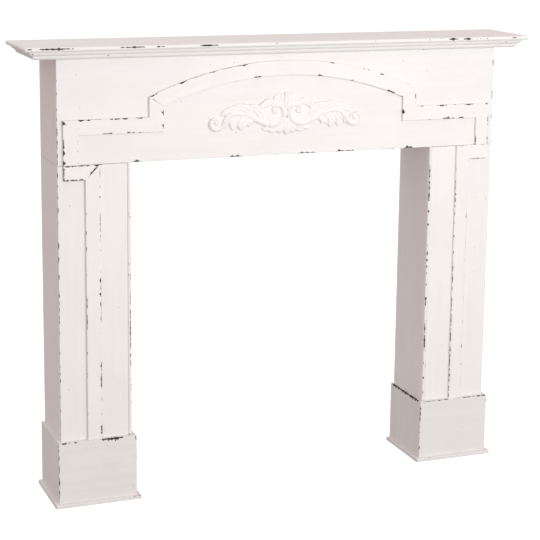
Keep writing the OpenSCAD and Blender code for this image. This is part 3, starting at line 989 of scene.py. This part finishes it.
# Leaves right of the middle: four curve points, half width and height
LEAVES = [
    ((5, 12), (7, 23), (10, 33), (14, 44), 8, 7),
    ((12, 12), (16, 22), (22, 31), (31, 37), 8.5, 6.5),
    ((24, 14), (34, 25), (42, 29), (54, 25), 8.5, 6.5),
    ((38, 22), (54, 26), (64, 16), (62, 1), 8, 7.5),
    ((31, 4), (40, 11), (49, 6), (54, -8), 7, 5.5),
    ((45, -20), (56, -17), (61, -8), (59, 3), 6, 5.5),
    ((56, -18), (60, 4), (72, 18), (95, 16), 11, 7.5),
    ((80, -8), (88, 8), (102, 21), (126, 17), 11, 7),
    ((101, 1), (118, 14), (138, 14), (154, 0), 9.5, 6.5),
    ((72, -8), (84, -9), (92, -17), (86, -27), 8, 5.5),
    ((88, -3), (106, -5), (114, -20), (104, -34), 10, 7),
    ((107, 2), (126, -4), (133, -18), (124, -33), 9, 6.5),
    ((121, 4), (138, -2), (147, -12), (143, -28), 7.5, 5.5),
    ((6, -15), (9, -27), (13, -35), (19, -43), 8.5, 7),
    ((14, -17), (20, -31), (28, -37), (42, -39), 8, 6),
    ((26, -25), (36, -31), (45, -35), (58, -34), 6, 5),
]
MIDDLE_LEAVES = [
    ((0, 8), (0, 22), (0, 36), (0, 48), 9, 9),
    ((0, -10), (0, -24), (0, -37), (0, -48), 8.5, 8),
]
# Stems: four curve points, half width at each end, height
STEMS = [
    ((26, -27), (52, -27), (72, -10), (92, -2), 5.5, 6, 6.5),
    ((90, -3), (118, 8), (136, 0), (147, -18), 6, 5, 7),
    ((145, -13), (148, -24), (156, -31), (168, -31), 4.8, 4.5, 7),
]
# Scrolls: centre, inner and outer radius, first and last angle, half widths, height
SCROLLS = [((26, 6), 5, 34, -60, 296, 3, 7, 8.5), ((168, -15), 4, 16, 610, 265, 2.5, 4.6, 7.5)]
# Round buttons in the scrolls' eyes, and the low swellings that the leaves lie on
BUTTONS = [
    ((26, 6), 7, 9), ((168, -15), 5.5, 8.5), ((32, -3), 29, 5), ((14, 26), 20, 5),
    ((14, -31), 15, 4), ((78, 4), 19, 4.5), ((105, 4), 18, 4.5), ((128, 1), 16, 4),
    ((100, -14), 15, 4), ((124, -13), 15, 4), ((168, -17), 14, 4.5), ((0, 0), 7, 5),
]
# Size of the grid that fuses the carving's bars, and how much the skin is smoothed after it
VOXEL = 0.85
SMOOTH_SHARE, SMOOTH_ROUNDS = 0.5, 3
# Points along each kind of bar
LEAF_STEPS, STEM_STEPS, SCROLL_STEPS, BUTTON_STEPS = 44, 48, 110, 20
# Points across a button, and across a stem or a leaf
DOME_STEPS, SECTION_STEPS = 14, 24


def on_curve(points, steps):
    t = np.linspace(0, 1, steps + 1)[:, None]
    a, b, c, d = (np.array(p, float) for p in points)
    return (1 - t) ** 3 * a + 3 * (1 - t) ** 2 * t * b + 3 * (1 - t) * t ** 2 * c + t ** 3 * d


def bar(path, half_widths, heights, section):
    """Points and faces of a bar with a flat back. section gives (across, up) shares of a ring."""
    step = np.gradient(path, axis=0)
    step /= np.linalg.norm(step, axis=1)[:, None]
    across = np.stack([-step[:, 1], step[:, 0]], 1)
    rings = []
    for k in range(len(path)):
        flat = path[k] + across[k] * (half_widths[k] * section[:, :1])
        rings.append(np.column_stack([flat[:, 0], -heights[k] * section[:, 1], flat[:, 1]]))
    return np.concatenate(rings), tube_faces(len(path), len(section))


def half_turn(steps):
    return np.linspace(0, math.pi, steps + 1)


def round_section():
    turns = half_turn(DOME_STEPS)
    return np.column_stack([np.cos(turns), np.sin(turns)])


def stem_section():
    """A rod with a narrow groove along each side of its crest."""
    turns = half_turn(SECTION_STEPS)
    across = np.cos(turns)
    groove = 0.26 * np.exp(-((np.abs(across) - 0.42) / 0.16) ** 2)
    return np.column_stack([across, np.sin(turns) ** 0.8 * (1 - groove)])


def leaf_section():
    """A leaf with a deep vein down its middle and a full lobe on each side."""
    turns = half_turn(SECTION_STEPS)
    across = np.cos(turns)
    vein = 0.30 * np.exp(-((across / 0.15) ** 2))
    return np.column_stack([across, np.sin(turns) ** 0.65 * (1 - vein)])


def leaf_bar(leaf):
    """A leaf that swells and narrows, with shallow notches between its lobes and a rising tip."""
    t = np.linspace(0, 1, LEAF_STEPS + 1)
    share = np.sin(math.pi * (0.13 + 0.862 * t)) ** 0.4
    lobes = 1 - 0.10 * np.abs(np.sin(t * math.pi * 3.5)) ** 6
    rise = share ** 0.7 * (0.80 + 0.25 * t)
    path = on_curve(leaf[:4], LEAF_STEPS)
    return bar(path, leaf[4] * share * lobes, leaf[5] * rise, leaf_section())


def stem_bar(stem):
    widths = np.linspace(stem[4], stem[5], STEM_STEPS + 1)
    heights = np.full(STEM_STEPS + 1, stem[6])
    path = on_curve(stem[:4], STEM_STEPS)
    return bar(path, widths, heights, stem_section())


def scroll_bar(scroll):
    centre, inner, outer, first, last, thin, full, height = scroll
    t = np.linspace(0, 1, SCROLL_STEPS + 1)
    turn = np.radians(first + (last - first) * t)
    radius = inner * (outer / inner) ** t
    path = np.array(centre) + radius[:, None] * np.column_stack([np.cos(turn), np.sin(turn)])
    heights = np.full(SCROLL_STEPS + 1, float(height))
    return bar(path, thin + (full - thin) * t, heights, stem_section())


def button_bar(button):
    centre, radius, height = button
    turn = half_turn(BUTTON_STEPS)
    path = np.array(centre, float) + np.column_stack([-radius * np.cos(turn), 0 * turn])
    share = np.maximum(0.05, np.sin(turn))
    return bar(path, radius * share, height * share, round_section())


def joined(bars):
    """The points and faces of several bars, put together."""
    points, faces, count = [], [], 0
    for bar_points, bar_faces in bars:
        points.append(bar_points)
        faces += [[index + count for index in face] for face in bar_faces]
        count += len(bar_points)
    return np.concatenate(points), faces


def fused(points, faces):
    """One smooth skin around bars that run into each other."""
    mesh = bpy.data.meshes.new("carving_rough")
    mesh.from_pydata(points.tolist(), [], faces)
    draft = bpy.data.objects.new("carving_draft", mesh)
    bpy.context.collection.objects.link(draft)
    remesh = draft.modifiers.new("fuse", "REMESH")
    remesh.mode, remesh.voxel_size = "VOXEL", VOXEL
    soften = draft.modifiers.new("soften", "SMOOTH")
    soften.factor, soften.iterations = SMOOTH_SHARE, SMOOTH_ROUNDS
    skin = draft.evaluated_get(bpy.context.evaluated_depsgraph_get()).to_mesh()
    coords = np.empty(len(skin.vertices) * 3)
    skin.vertices.foreach_get("co", coords)
    polygons = [list(polygon.vertices) for polygon in skin.polygons]
    bpy.data.objects.remove(draft)
    return coords.reshape(-1, 3), polygons


def add_carving():
    low, high = box_mm("carving")
    centre_z, back = (low[2] + high[2]) / 2, high[1]
    half = [leaf_bar(leaf) for leaf in LEAVES] + [stem_bar(stem) for stem in STEMS]
    half += [scroll_bar(scroll) for scroll in SCROLLS] + [button_bar(button) for button in BUTTONS]
    mirrored = [(points * (-1, 1, 1), [face[::-1] for face in faces]) for points, faces in half]
    points, faces = joined(half + mirrored + [leaf_bar(leaf) for leaf in MIDDLE_LEAVES])
    points, faces = fused(points + (0, back, centre_z), faces)
    points[:, 1] = np.clip(points[:, 1], low[1], back)
    points = points * MM
    worn = np.zeros(len(points))
    add_piece("carving_piece", points, faces, points, worn, "carving_paint", ["carving"])


# ---- The whole object ----


def main():
    add_camera()
    add_light()
    add_floor()
    for name, looks in PAINTS.items():
        PAINTED[name] = painted_wood(name, *looks)
    add_shelf()
    add_cornice()
    add_header_boards()
    add_header_strips()
    add_carving()
    add_leg_strips()
    for side in ("left", "right"):
        add_leg_boards(side)
        add_bead(side)
        add_plinth(side)


main()
